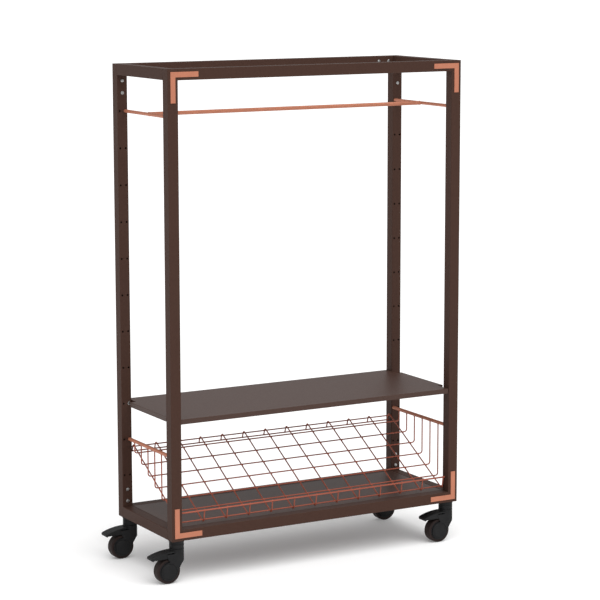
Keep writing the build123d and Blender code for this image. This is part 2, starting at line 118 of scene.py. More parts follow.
def ring_faces(rings, segments, closed=False):
    """Quads between rings of equal size, laid one after another."""
    faces = []
    for ring in range(rings if closed else rings - 1):
        a = ring * segments
        b = ((ring + 1) % rings) * segments
        for i in range(segments):
            j = (i + 1) % segments
            faces.append((a + i, a + j, b + j, b + i))
    return faces


def lathe(profile, segments=48, closed=True):
    """Turns (radius, height) points about Z. An open profile starts and ends on the axis.

    A closed profile that runs the wrong way is turned round, so its faces look outwards.
    """
    turn = np.linspace(0, 2 * math.pi, segments, endpoint=False)
    inner = profile if closed else profile[1:-1]
    ahead = inner[1:] + inner[:1]
    area = sum(r0 * z1 - r1 * z0 for (r0, z0), (r1, z1) in zip(inner, ahead))
    if closed and area < 0:
        inner = inner[::-1]
    points = [
        (radius * math.cos(a), radius * math.sin(a), height)
        for radius, height in inner
        for a in turn
    ]
    faces = ring_faces(len(inner), segments, closed)
    if not closed:
        for height, ring, flip in ((profile[0][1], 0, True), (profile[-1][1], len(inner) - 1, False)):
            tip = len(points)
            points.append((0.0, 0.0, height))
            for i in range(segments):
                a, b = ring * segments + i, ring * segments + (i + 1) % segments
                faces.append((tip, b, a) if flip else (tip, a, b))
    return points, faces


def along(axis, origin):
    """Matrix that turns Z to the given axis and moves to the origin given."""
    turn = Vector((0, 0, 1)).rotation_difference(Vector(axis))
    return Matrix.Translation(Vector(origin)) @ turn.to_matrix().to_4x4()


def bend(corners, radius, steps=8):
    """The corners joined by straight runs, each corner rounded to the radius."""
    corners = [np.asarray(c, float) for c in corners]
    path = [corners[0]]
    for before, corner, after in zip(corners, corners[1:], corners[2:]):
        u = (before - corner) / np.linalg.norm(before - corner)
        v = (after - corner) / np.linalg.norm(after - corner)
        half = math.acos(float(np.clip(u @ v, -1, 1))) / 2
        middle = (u + v) / np.linalg.norm(u + v)
        centre = corner + middle * radius / math.sin(half)
        start = corner + u * radius / math.tan(half)
        side = (start - centre) / radius
        up = -middle
        across = side - up * (side @ up)
        across /= np.linalg.norm(across)
        spread = math.pi / 2 - half
        for step in range(steps + 1):
            a = spread * (1 - 2 * step / steps)
            path.append(centre + radius * (up * math.cos(a) + across * math.sin(a)))
    path.append(corners[-1])
    return np.array(path)


def wire(path, radius, segments=14, round_rings=3):
    """A round wire along the path, with slightly domed ends."""
    path = np.asarray(path, float)
    steps = np.diff(path, axis=0)
    steps /= np.linalg.norm(steps, axis=1)[:, None]
    tangents = np.vstack([steps[:1], steps[1:] + steps[:-1], steps[-1:]])
    tangents /= np.linalg.norm(tangents, axis=1)[:, None]
    start = np.array([0.0, 0.0, 1.0]) if abs(tangents[0][2]) < 0.9 else np.array([1.0, 0.0, 0.0])
    side = np.cross(tangents[0], start)
    side /= np.linalg.norm(side)
    turn = np.linspace(0, 2 * math.pi, segments, endpoint=False)
    rings = []
    dome = 0.35 * radius
    for i, (at, tangent) in enumerate(zip(path, tangents)):
        side = side - tangent * (side @ tangent)
        side /= np.linalg.norm(side)
        up = np.cross(tangent, side)
        stations = [(1.0, 0.0)]
        if i in (0, len(path) - 1):
            angles = [math.pi / 2 * k / round_rings for k in range(round_rings)]
            ends = [(math.cos(a) * 0.65 + 0.35, -dome + dome * math.sin(a)) for a in angles]
            stations = [(r, -o) for r, o in reversed(ends)] if i == 0 else ends
        for scale, offset in stations:
            ring = at + tangent * offset + radius * scale * (
                np.outer(np.cos(turn), side) + np.outer(np.sin(turn), up)
            )
            rings.append(ring)
    faces = ring_faces(len(rings), segments)
    faces.append(tuple(reversed(range(segments))))
    faces.append(tuple(range((len(rings) - 1) * segments, len(rings) * segments)))
    return np.concatenate(rings), faces


def bead(radius, height, segments=12, rings=5):
    """A flattened ball, for a spot weld."""
    profile = [
        (radius * math.sin(math.pi * k / rings), -height * math.cos(math.pi * k / rings))
        for k in range(rings + 1)
    ]
    return lathe(profile, segments, closed=False)


# ------------------------------------------------------------------ moulded shapes
# A moulded piece is a field: negative inside, in millimetres, at points (x, y, z).
def ease_min(a, b, blend):
    h = np.clip(0.5 + 0.5 * (b - a) / blend, 0, 1)
    return b * (1 - h) + a * h - blend * h * (1 - h)


def ease_max(a, b, blend):
    return -ease_min(-a, -b, blend)


def slab(outline, thickness, rounding):
    """Meets an outline's distance with a thickness' distance, with rounded edges."""
    a, b = outline + rounding, thickness + rounding
    inside = np.minimum(np.maximum(a, b), 0)
    return inside + np.hypot(np.maximum(a, 0), np.maximum(b, 0)) - rounding


def inside_outline(u, v, corners):
    """Signed distance to a closed outline."""
    best = np.full(u.shape, 1e9)
    crossings = np.zeros(u.shape, bool)
    for (ax, ay), (bx, by) in zip(corners, corners[1:] + corners[:1]):
        ex, ey = bx - ax, by - ay
        px, py = u - ax, v - ay
        t = np.clip((px * ex + py * ey) / (ex * ex + ey * ey), 0, 1)
        best = np.minimum(best, np.hypot(px - ex * t, py - ey * t))
        if ay != by:
            over = (v >= min(ay, by)) & (v < max(ay, by))
            crossings ^= over & (px < (v - ay) * ex / ey)
    return np.where(crossings, -best, best)


def surface(field, low, high, step):
    """Quads on the field's zero surface, one point in each grid cell that it crosses."""
    axes = [np.arange(a, b + step, step) for a, b in zip(low, high)]
    grid = np.stack(np.meshgrid(*axes, indexing="ij"), -1)
    value = field(grid[..., 0], grid[..., 1], grid[..., 2])
    cells = tuple(n - 1 for n in value.shape)
    total = np.zeros(cells + (3,))
    hits = np.zeros(cells)
    crossings = []
    for axis in range(3):
        first = np.take(value, range(value.shape[axis] - 1), axis)
        second = np.take(value, range(1, value.shape[axis]), axis)
        crossed = (first < 0) != (second < 0)
        share = np.where(crossed, first / np.where(crossed, first - second, 1), 0)
        where = np.take(grid, range(value.shape[axis] - 1), axis).copy()
        where[..., axis] += share * step
        crossings.append((crossed, first < 0))
        b, c = [k for k in range(3) if k != axis]
        for db in (0, 1):
            for dc in (0, 1):
                cut = [slice(None)] * 3
                cut[b] = slice(db, db + cells[b])
                cut[c] = slice(dc, dc + cells[c])
                mask = crossed[tuple(cut)]
                total += where[tuple(cut)] * mask[..., None]
                hits += mask
    used = hits > 0
    number = np.full(cells, -1)
    number[used] = np.arange(used.sum())
    points = total[used] / hits[used][:, None]
    for _ in range(3):
        at = field(*points.T)
        small = 0.05
        slope = np.stack(
            [
                (field(*(points + small * np.eye(3)[k]).T) - field(*(points - small * np.eye(3)[k]).T))
                / (2 * small)
                for k in range(3)
            ],
            -1,
        )
        square = np.maximum((slope**2).sum(1), 0.2)
        points -= np.clip(at / square, -step / 3, step / 3)[:, None] * slope
    faces = []
    for axis, (crossed, starts_inside) in enumerate(crossings):
        b, c = (axis + 1) % 3, (axis + 2) % 3
        at = np.argwhere(crossed)
        at = at[(at[:, b] > 0) & (at[:, c] > 0) & (at[:, b] < cells[b]) & (at[:, c] < cells[c])]
        inward = starts_inside[tuple(at.T)]
        corners = []
        for db, dc in ((1, 1), (0, 1), (0, 0), (1, 0)):
            cell = at.copy()
            cell[:, b] -= db
            cell[:, c] -= dc
            corners.append(number[tuple(cell.T)])
        quads = np.stack(corners, 1)
        quads[~inward] = quads[~inward][:, ::-1]
        faces.append(quads)
    return points, np.concatenate(faces)


# ------------------------------------------------------------------ materials
def build_material(name, colour, roughness, metallic=0.0, specular=0.5):
    material = bpy.data.materials.new(name)
    material.use_nodes = True
    nodes = material.node_tree.nodes
    shader = nodes["Principled BSDF"]
    shader.inputs["Base Color"].default_value = (*colour, 1)
    shader.inputs["Roughness"].default_value = roughness
    shader.inputs["Metallic"].default_value = metallic
    shader.inputs["Specular IOR Level"].default_value = specular
    return material, nodes, material.node_tree.links, shader


def noise(nodes, links, scale, detail=2.0, stretch=(1, 1, 1)):
    """Noise in object space; the scale is in features per metre."""
    place = nodes.new("ShaderNodeTexCoord")
    mapping = nodes.new("ShaderNodeMapping")
    mapping.inputs["Scale"].default_value = stretch
    texture = nodes.new("ShaderNodeTexNoise")
    texture.inputs["Scale"].default_value = scale
    texture.inputs["Detail"].default_value = detail
    links.new(place.outputs["Object"], mapping.inputs["Vector"])
    links.new(mapping.outputs["Vector"], texture.inputs["Vector"])
    return texture.outputs["Fac"]


def vary_roughness(nodes, links, shader, source, low, high):
    spread = nodes.new("ShaderNodeMapRange")
    spread.inputs["From Min"].default_value = 0.3
    spread.inputs["From Max"].default_value = 0.7
    spread.inputs["To Min"].default_value = low
    spread.inputs["To Max"].default_value = high
    links.new(source, spread.inputs["Value"])
    links.new(spread.outputs["Result"], shader.inputs["Roughness"])


def vary_colour(nodes, links, source, dark, light):
    ramp = nodes.new("ShaderNodeValToRGB")
    ramp.color_ramp.elements[0].position = 0.3
    ramp.color_ramp.elements[0].color = (*dark, 1)
    ramp.color_ramp.elements[1].position = 0.7
    ramp.color_ramp.elements[1].color = (*light, 1)
    links.new(source, ramp.inputs["Fac"])
    return ramp.outputs["Color"]


def add_bumps(nodes, links, shader, *layers):
    """Each layer is (source, strength, height in metres)."""
    normal = None
    for source, strength, height in layers:
        bump = nodes.new("ShaderNodeBump")
        bump.inputs["Strength"].default_value = strength
        bump.inputs["Distance"].default_value = height
        links.new(source, bump.inputs["Height"])
        if normal is not None:
            links.new(normal, bump.inputs["Normal"])
        normal = bump.outputs["Normal"]
    links.new(normal, shader.inputs["Normal"])


def painted_highlight_mask(nodes, links, radius, reach):
    """1 along sharp edges and 0 on flats, from how far a rounded normal leans; it places the painted edge
    highlights.
    """
    rounded = nodes.new("ShaderNodeBevel")
    rounded.samples = 4
    rounded.inputs["Radius"].default_value = radius
    geometry = nodes.new("ShaderNodeNewGeometry")
    dot = nodes.new("ShaderNodeVectorMath")
    dot.operation = "DOT_PRODUCT"
    links.new(rounded.outputs["Normal"], dot.inputs[0])
    links.new(geometry.outputs["Normal"], dot.inputs[1])
    spread = nodes.new("ShaderNodeMapRange")
    spread.inputs["From Min"].default_value = 1.0
    spread.inputs["From Max"].default_value = reach
    links.new(dot.outputs["Value"], spread.inputs["Value"])
    return spread.outputs["Result"]


def mix_colour(nodes, links, share, first, second):
    mix = nodes.new("ShaderNodeMix")
    mix.data_type = "RGBA"
    links.new(share, mix.inputs["Factor"])
    links.new(first, mix.inputs["A"])
    mix.inputs["B"].default_value = (*second, 1)
    return mix.outputs["Result"]


def shade(colour, factor):
    return tuple(c * factor for c in colour)


def powder_coat(name, colour, roughness, specular, edge_highlight_factor):
    """Fine-grained baked powder coat: orange peel, faint mottling, and a painted highlight that lightens
    the edges.
    """
    material, nodes, links, shader = build_material(name, colour, roughness, specular=specular)
    mottle = noise(nodes, links, 160, 3)
    tint = vary_colour(nodes, links, mottle, shade(colour, 0.95), shade(colour, 1.05))
    # painted highlight: the base colour is made lighter along the edges, standing in for light catching
    # them
    edges = painted_highlight_mask(nodes, links, 1.2 * MM, 0.8)
    tint = mix_colour(nodes, links, edges, tint, shade(colour, edge_highlight_factor))
    links.new(tint, shader.inputs["Base Color"])
    vary_roughness(nodes, links, shader, noise(nodes, links, 300, 2), roughness - 0.03, roughness + 0.03)
    peel = noise(nodes, links, 700, 1)
    grain = noise(nodes, links, 2600, 2)
    add_bumps(nodes, links, shader, (peel, 0.2, 0.04 * MM), (grain, 0.25, 0.02 * MM))
    return material


def copper_lacquer(name, colour, roughness, metallic, specular):
    """Copper-coloured lacquer with fine metallic flake, and a painted highlight that lightens the edges."""
    material, nodes, links, shader = build_material(name, colour, roughness, metallic, specular)
    flake = noise(nodes, links, 1800, 2)
    cloud = noise(nodes, links, 22, 3)
    tint = vary_colour(nodes, links, cloud, shade(colour, 0.94), shade(colour, 1.06))
    # painted highlight: the base colour is made lighter along the edges, standing in for light catching
    # them
    edges = painted_highlight_mask(nodes, links, 0.8 * MM, 0.75)
    tint = mix_colour(nodes, links, edges, tint, tuple(min(1.0, c * 1.18) for c in colour))
    links.new(tint, shader.inputs["Base Color"])
    vary_roughness(nodes, links, shader, flake, roughness - 0.07, roughness + 0.07)
    ripple = noise(nodes, links, 500, 1)
    add_bumps(nodes, links, shader, (ripple, 0.2, 0.05 * MM), (flake, 0.15, 0.02 * MM))
    return material


def zinc(name, colour, roughness):
    """Bright zinc plating with turning marks."""
    material, nodes, links, shader = build_material(name, colour, roughness, metallic=1.0)
    spangle = noise(nodes, links, 420, 3)
    lines = noise(nodes, links, 900, 2, stretch=(1, 12, 1))
    links.new(
        vary_colour(nodes, links, spangle, shade(colour, 0.85), shade(colour, 1.1)),
        shader.inputs["Base Color"],
    )
    vary_roughness(nodes, links, shader, lines, roughness - 0.08, roughness + 0.1)
    add_bumps(nodes, links, shader, (lines, 0.2, 0.02 * MM))
    return material


def moulded_plastic(name, colour, roughness, grain_scale, edge_highlight_factor, specular=0.4):
    """Moulded nylon with a fine spark texture, and a painted highlight that lightens the edges."""
    material, nodes, links, shader = build_material(name, colour, roughness, specular=specular)
    cloud = noise(nodes, links, 40, 3)
    tint = vary_colour(nodes, links, cloud, shade(colour, 0.85), shade(colour, 1.15))
    # painted highlight: the base colour is made lighter along the edges, standing in for light catching
    # them
    edges = painted_highlight_mask(nodes, links, 0.9 * MM, 0.7)
    tint = mix_colour(nodes, links, edges, tint, shade(colour, edge_highlight_factor))
    links.new(tint, shader.inputs["Base Color"])
    grain = noise(nodes, links, grain_scale, 2)
    vary_roughness(nodes, links, shader, grain, roughness - 0.06, roughness + 0.08)
    add_bumps(nodes, links, shader, (grain, 0.4, 0.05 * MM))
    return material


BROWN = (0.0574, 0.0290, 0.0213)
COPPER = (0.475, 0.180, 0.108)
# COPPER_WIRE is redder than COPPER, as the wire lacquer is. It is also darker, and that darkening is
# painted shade for the basket wires lying in shade under the shelf.
COPPER_WIRE = (0.34, 0.092, 0.056)
# The last number given to powder_coat and moulded_plastic is how much lighter the painted edge highlight
# makes the base colour.
MATERIALS = {
    "frame_paint": powder_coat("brown_powder_coat", BROWN, 0.5, 0.07, 1.35),
    "shelf_paint": powder_coat("brown_sheet_coat", BROWN, 0.46, 0.26, 1.3),
    "copper_paint": copper_lacquer("copper_powder_coat", COPPER, 0.42, 0.15, 0.2),
    "copper_wire": copper_lacquer("copper_wire_lacquer", COPPER_WIRE, 0.36, 0.3, 0.25),
    "zinc_steel": zinc("bright_zinc", (0.4, 0.4, 0.395), 0.36),
    "black_plastic": moulded_plastic("black_nylon", (0.0125, 0.0125, 0.013), 0.5, 2200, 2.0, 0.13),
    "wheel_plastic": moulded_plastic("grey_wheel_nylon", (0.02, 0.02, 0.022), 0.5, 1800, 1.8, 0.15),
    "tyre_rubber": moulded_plastic("brown_black_tyre", (0.023, 0.0145, 0.013), 0.62, 1200, 1.3, 0.15),
}
SLOT_OF = {row["node"]: row["material_slot"] for row in frame["record"]["subparts"]}
for node_name, node_object in frame["nodes"].items():
    node_object.data.materials.clear()
    node_object.data.materials.append(MATERIALS[SLOT_OF[node_name]])


def add_piece(mesh, name, slot, body="rack", replaces=(), sharp=35.0):
    return mesh.piece(name, MATERIALS[slot], body, slot, replaces, sharp)


# ------------------------------------------------------------------ screws and shelf pins
SCREW_HEAD = 5.3 * MM
SCREW_HEIGHT = 2.8 * MM
SCREW_SHANK = 2.5 * MM
SOCKET = 1.9 * MM
SOCKET_DEPTH = 1.3 * MM
SCREW_OFFSETS = (50 * MM, 86.5 * MM)
SCREW_BITE = 1.4 * MM                # how far a screw's shank enters the bracket
SPIGOT = 3 * MM                      # reduced ends of pins and rods, in the peg holes
SPIGOT_LENGTH = 10 * MM
SPIGOT_CHAMFER = 0.5 * MM
PIN_BODY = 4 * MM
PIN_COLLAR = 5.2 * MM
PIN_COLLAR_WIDTH = 1.6 * MM
PIN_COLLAR_EDGE = 0.3 * MM
PIN_NOSE = 0.8 * MM
PIN_LENGTH = 43 * MM


def screw_shape(length):
    """A button-head socket screw along +Z from its seat at z = 0; its head stands towards -Z."""
    segments = 36
    turn = np.linspace(0, 2 * math.pi, segments, endpoint=False)
    sixth = math.pi / 3
    hexagon = SOCKET * math.cos(sixth / 2) / np.cos(turn % sixth - sixth / 2)
    rings = [(hexagon, -SCREW_HEIGHT + SOCKET_DEPTH), (hexagon, -SCREW_HEIGHT)]
    for k in range(8):
        a = math.pi / 2 * k / 7
        radius = SCREW_HEAD * (0.45 + 0.55 * math.sin(a))
        rings.append((radius + 0 * turn, -SCREW_HEIGHT * (0.12 + 0.88 * math.cos(a) ** 0.8)))
    rings += [(SCREW_HEAD + 0 * turn, 0.0), (SCREW_SHANK + 0 * turn, 0.0)]
    rings += [(SCREW_SHANK + 0 * turn, length)]
    points = np.concatenate(
        [np.stack([r * np.cos(turn), r * np.sin(turn), z + 0 * turn], -1) for r, z in rings]
    )
    faces = ring_faces(len(rings), segments)
    faces.append(tuple(reversed(range(segments))))
    faces.append(tuple(range((len(rings) - 1) * segments, len(rings) * segments)))
    return points, faces


def build_screws():
    mesh = Mesh()
    shape = screw_shape(TUBE + SCREW_BITE)
    for x_edge, inwards in ((rack_low.x, 1), (rack_high.x, -1)):
        for z_edge, up in ((rack_low.z, 1), (rack_high.z, -1)):
            for end in (-1, 1):
                for offset in SCREW_OFFSETS:
                    for dx, dz in ((TUBE / 2, offset), (offset, TUBE / 2)):
                        at = (x_edge + inwards * dx, end * INNER_Y, z_edge + up * dz)
                        mesh.add(*shape, along((0, end, 0), at))
    add_piece(mesh, "bracket_button_screws", "zinc_steel", replaces=["bracket_screws"])


def build_shelf_pins():
    """Turned pins: a spigot in the post, a thin collar against it, a chamfered nose in the shelf."""
    low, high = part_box("shelf_pins")
    profile = [
        (0, -SPIGOT_LENGTH),
        (SPIGOT - SPIGOT_CHAMFER, -SPIGOT_LENGTH),
        (SPIGOT, SPIGOT_CHAMFER - SPIGOT_LENGTH),
        (SPIGOT, 0),
        (PIN_COLLAR - PIN_COLLAR_EDGE, 0),
        (PIN_COLLAR, PIN_COLLAR_EDGE),
        (PIN_COLLAR, PIN_COLLAR_WIDTH - PIN_COLLAR_EDGE),
        (PIN_COLLAR - PIN_COLLAR_EDGE, PIN_COLLAR_WIDTH),
        (PIN_BODY, PIN_COLLAR_WIDTH),
        (PIN_BODY, PIN_LENGTH - PIN_NOSE),
        (PIN_BODY - PIN_NOSE, PIN_LENGTH),
        (0, PIN_LENGTH),
    ]
    mesh = Mesh()
    shape = lathe(profile, 32, closed=False)
    for x in (low.x + PIN_BODY, high.x - PIN_BODY):
        for end in (-1, 1):
            mesh.add(*shape, along((0, -end, 0), (x, end * INNER_Y, (low.z + high.z) / 2)))
    add_piece(mesh, "turned_shelf_pins", "zinc_steel", replaces=["shelf_pins"])


build_screws()
build_shelf_pins()

# ------------------------------------------------------------------ hang rail
ROD_CHAMFER = 0.6 * MM
BAR_SINK = 0.6                       # how far the bar's ends enter the arms, in arm radii
BAR_WELD = 0.9 * MM


def rod_shape(radius, half_length):
    """A rod along Z with chamfered shoulders and a spigot at each end."""
    half = [
        (0, half_length + SPIGOT_LENGTH),
        (SPIGOT - SPIGOT_CHAMFER, half_length + SPIGOT_LENGTH),
        (SPIGOT, half_length + SPIGOT_LENGTH - SPIGOT_CHAMFER),
        (SPIGOT, half_length),
        (radius - ROD_CHAMFER, half_length),
        (radius, half_length - ROD_CHAMFER),
    ]
    return lathe([(r, -h) for r, h in half] + list(reversed(half)), 40, closed=False)


def build_cross_rod(node, name):
    middle, size = middle_and_size(node)
    mesh = Mesh()
    mesh.add(*rod_shape(size.x / 2, INNER_Y), along((0, 1, 0), (middle.x, 0, middle.z)))
    add_piece(mesh, name, "copper_paint", replaces=[node])
    return middle, size.x / 2


def build_hang_rail():
    left, arm_radius = build_cross_rod("hang_rail_left_arm", "hang_arm_left")
    right, _ = build_cross_rod("hang_rail_right_arm", "hang_arm_right")
    _, size = middle_and_size("hang_rail_bar")
    radius = size.z / 2
    sink = arm_radius * BAR_SINK
    span = right.x - left.x - 2 * sink
    flat = arm_radius - sink
    start = [
        (radius + BAR_WELD, flat * 0.5),
        (radius + BAR_WELD, flat + 0.2 * MM),
        (radius, flat + 1.4 * MM),
    ]
    end = [(r, span - h) for r, h in reversed(start)]
    profile = [(0, 0), (radius, 0)] + start + end + [(radius, span), (0, span)]
    mesh = Mesh()
    mesh.add(
        *lathe(profile, 40, closed=False),
        along((1, 0, 0), (left.x + sink, 0, left.z)),
    )
    add_piece(mesh, "hang_bar_welded", "copper_paint", replaces=["hang_rail_bar"], sharp=50)


build_hang_rail()

# ------------------------------------------------------------------ wire basket
WIRE = 2 * MM
RIM_WIRE = 2.5 * MM
SLOPE = math.tan(math.radians(30))
FLOOR_LEVEL = 133 * MM              # cross wires above the underside, at mid-depth
LONG_WIRES = [(117.8 - 46.2 * k) * MM for k in range(6)]
FRONT_FOLD = -161 * MM
BACK_FOLD = 159 * MM
LIP_TOP = (-168 * MM, 82.5 * MM)
TAIL_TOP = (167 * MM, 203 * MM)
FRONT_WIRE = (4.6 * MM, 8.1 * MM)   # from the folds and the tail
BACK_WIRE = (-1.7 * MM, -7.2 * MM)
TAIL_WIRE = (-4.2 * MM, -0.6 * MM)
CROSS_WIRES = 13
CORNER_RADIUS = 8 * MM
FOLD_RADIUS = 6 * MM


def basket_floor(y):
    return UNDERSIDE + FLOOR_LEVEL + SLOPE * y


def build_basket():
    left, rod_radius = build_cross_rod("basket_left_rod", "basket_rod_left")
    right, _ = build_cross_rod("basket_right_rod", "basket_rod_right")
    lift = 2 * WIRE * math.sqrt(1 + SLOPE**2)
    weld = Mesh()
    spot = bead(1.45 * WIRE, 1.15 * WIRE)
    slant = (0, -SLOPE, 1)

    for index, y in enumerate(LONG_WIRES):
        level = basket_floor(y) + lift
        top = left.z - rod_radius * 0.4
        corners = [(left.x, y, top), (left.x, y, level), (right.x, y, level), (right.x, y, top)]
        mesh = Mesh()
        mesh.add(*wire(bend(corners, CORNER_RADIUS), WIRE))
        add_piece(
            mesh,
            f"basket_long_wire_{index + 1}",
            "copper_wire",
            replaces=["basket_long_wires", "basket_left_uprights", "basket_right_uprights"],
        )
        collar = lathe(
            [
                (WIRE * 0.9, 0),
                (WIRE * 1.75, 0),
                (WIRE * 1.45, -0.9 * MM),
                (WIRE * 1.1, -1.9 * MM),
                (WIRE * 0.9, -2.2 * MM),
            ],
            14,
        )
        for x in (left.x, right.x):
            weld.add(*collar, Matrix.Translation((x, y, left.z - rod_radius * 0.86)))

    low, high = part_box("basket_cross_wires")
    first, last = low.x + WIRE, high.x - WIRE
    path = [
        (TAIL_TOP[0], UNDERSIDE + TAIL_TOP[1]),
        (BACK_FOLD, basket_floor(BACK_FOLD)),
        (FRONT_FOLD, basket_floor(FRONT_FOLD)),
        (LIP_TOP[0], UNDERSIDE + LIP_TOP[1]),
    ]
    for index in range(CROSS_WIRES):
        x = first + (last - first) * index / (CROSS_WIRES - 1)
        mesh = Mesh()
        mesh.add(*wire(bend([(x, y, z) for y, z in path], FOLD_RADIUS), WIRE))
        add_piece(
            mesh, f"basket_cross_wire_{index + 1}", "copper_wire", replaces=["basket_cross_wires"]
        )
        for y in LONG_WIRES:
            weld.add(*spot, along(slant, (x, y, basket_floor(y) + lift / 2)))

    low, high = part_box("basket_edge_wires")
    back_span = (low.x, high.x)
    front_span = (first - WIRE, last + WIRE)
    edges = {
        "front": (FRONT_FOLD + FRONT_WIRE[0], basket_floor(FRONT_FOLD) + FRONT_WIRE[1], front_span, WIRE),
        "rim": (
            LIP_TOP[0] - WIRE - RIM_WIRE,
            UNDERSIDE + LIP_TOP[1] - RIM_WIRE,
            front_span,
            RIM_WIRE,
        ),
        "back": (BACK_FOLD + BACK_WIRE[0], basket_floor(BACK_FOLD) + BACK_WIRE[1], back_span, WIRE),
        "tail": (TAIL_TOP[0] + TAIL_WIRE[0], UNDERSIDE + TAIL_TOP[1] + TAIL_WIRE[1], back_span, WIRE),
    }
    for edge, (y, z, span, radius) in edges.items():
        mesh = Mesh()
        mesh.add(*wire([(span[0], y, z), (span[1], y, z)], radius, 18))
        add_piece(mesh, f"basket_{edge}_wire", "copper_wire", replaces=["basket_edge_wires"])
    for index in range(CROSS_WIRES):
        x = first + (last - first) * index / (CROSS_WIRES - 1)
        weld.add(*spot, along((0, 1, 0), (x, LIP_TOP[0] - WIRE, UNDERSIDE + LIP_TOP[1] - RIM_WIRE)))
        weld.add(*spot, along((0, 1, 0.4), (x, edges["front"][0] - 1.6 * MM, edges["front"][1] - 0.6 * MM)))
        weld.add(*spot, along((0, 1, 1), (x, edges["back"][0] - 1.2 * MM, edges["back"][1] + 1.4 * MM)))
        weld.add(*spot, along((0, 1, 0), (x, edges["tail"][0] + 1.9 * MM, edges["tail"][1])))
    add_piece(weld, "basket_spot_welds", "copper_wire")


build_basket()

# ------------------------------------------------------------------ casters
# Millimetres from the swivel axis and the underside of the rack; the wheel trails towards -x.
TRAIL = 32.5
WHEEL_Z = -90.5
WHEEL_R = 37.5
COLLAR_R = 22.0
FORK_TOP = -25.0
FORK_SKIRT = -63.0
LEG_INNER = 16.0
LEG_OUTER = 20.0
COVER_R = 27.0
PIVOT = (-27.0, -42.0)
CHEEK_R = 13.5
CHEEK_TOP = -38.4
SKIRT_R = 14.3
LEG_OUTLINE = [
    (-30.0, CHEEK_TOP),
    (12.0, CHEEK_TOP),
    (12.0, FORK_SKIRT),
    (1.0, -81.0),
    (-8.0, -96.0),
    (-TRAIL, WHEEL_Z),
    (-34.0, WHEEL_Z + COVER_R),
    (-36.0, -52.0),
]
MOULD_STEP = 0.9


def fork_field(x, y, z):
    depth = np.abs(y)
    from_axis = np.hypot(x, y)
    from_wheel = np.hypot(x + TRAIL, z - WHEEL_Z)
    from_pivot = np.hypot(x - PIVOT[0], z - PIVOT[1])
    hood = slab(from_axis - COLLAR_R, np.abs(z - (FORK_TOP + FORK_SKIRT) / 2) - 19.0, 1.0)
    leg_depth = np.abs(depth - 18.0) - 2.0
    flat = inside_outline(x, z, LEG_OUTLINE)
    cheek = np.maximum(from_pivot - CHEEK_R, z - CHEEK_TOP)
    legs = slab(np.minimum(flat, cheek), leg_depth, 1.1)
    cover = slab(from_wheel - COVER_R, leg_depth, 1.1)
    # the cover's face is slightly crowned
    crown = np.hypot(from_wheel, (depth - (LEG_OUTER + 1.2 - 220.0))) - 220.0
    button = np.maximum(np.maximum(from_wheel - 21.0, crown), LEG_INNER + 1 - depth)
    body = ease_min(ease_min(hood, legs, 3.0), cover, 1.5)
    body = ease_min(body, button, 1.0)
    wheel_space = np.maximum(from_wheel - (WHEEL_R + 2.0), depth - LEG_INNER)
    body = ease_max(body, -wheel_space, 0.8)
    arm_space = np.maximum(from_pivot - 9.0, depth - LEG_INNER)
    head_space = np.maximum(from_axis - 11.0, z + 39.6)
    bore = from_axis - 6.05
    body = np.maximum(body, -np.minimum(np.minimum(arm_space, head_space), bore))
    # a groove round the wheel cover, and the blind hole above it
    groove = np.hypot(from_wheel - 23.2, depth - 20.5) - 1.7
    hole = np.maximum(np.hypot(x + 34.0, z + 60.0) - 2.9, LEG_INNER - 1 - depth)
    return ease_max(body, -np.minimum(groove, hole), 0.4)


def arc_through(start, middle, end, steps):
    """Points on the circle through three points."""
    (ax, ay), (bx, by), (cx, cy) = start, middle, end
    d = 2 * (ax * (by - cy) + bx * (cy - ay) + cx * (ay - by))
    a2, b2, c2 = ax * ax + ay * ay, bx * bx + by * by, cx * cx + cy * cy
    ux = (a2 * (by - cy) + b2 * (cy - ay) + c2 * (ay - by)) / d
    uy = (a2 * (cx - bx) + b2 * (ax - cx) + c2 * (bx - ax)) / d
    radius = math.hypot(ax - ux, ay - uy)
    first, last = math.atan2(ay - uy, ax - ux), math.atan2(cy - uy, cx - ux)
    turn = np.linspace(first, last, steps + 1)
    return [(ux + radius * math.cos(t), uy + radius * math.sin(t)) for t in turn]


PEDAL_TOP = arc_through((-9.0, -30.5), (-50.0, -33.6), (-90.0, -46.0), 14)
HOLLOW_TOP = arc_through((-38.0, -35.3), (-62.0, -39.3), (-86.5, -48.0), 8)
PEDAL_FOOT = [
    (-89.0, -51.5),
    (-85.5, -53.5),
    (-82.0, -51.0),
    (-38.0, -50.5),
    (-38.0, -35.2),
    (-9.0, -33.5),
]
PEDAL_OUTLINE = PEDAL_TOP + PEDAL_FOOT
HOLLOW_OUTLINE = HOLLOW_TOP + [(-84.0, -57.0), (-38.0, -57.0)]
SHOE_OUTLINE = [
    (-27.0, -36.5),
    (-24.0, -33.0),
    (-52.0, -35.0),
    (-50.0, -42.0),
    (-46.0, -50.0),
    (-40.0, -49.4),
    (-30.0, -46.0),
]
TIP_CORNER = 7.0
PRESS = math.tan(math.radians(12))
RIBS = [(PEDAL_TOP[k][0], PEDAL_TOP[k][1]) for k in (10, 11, 12, 13)]


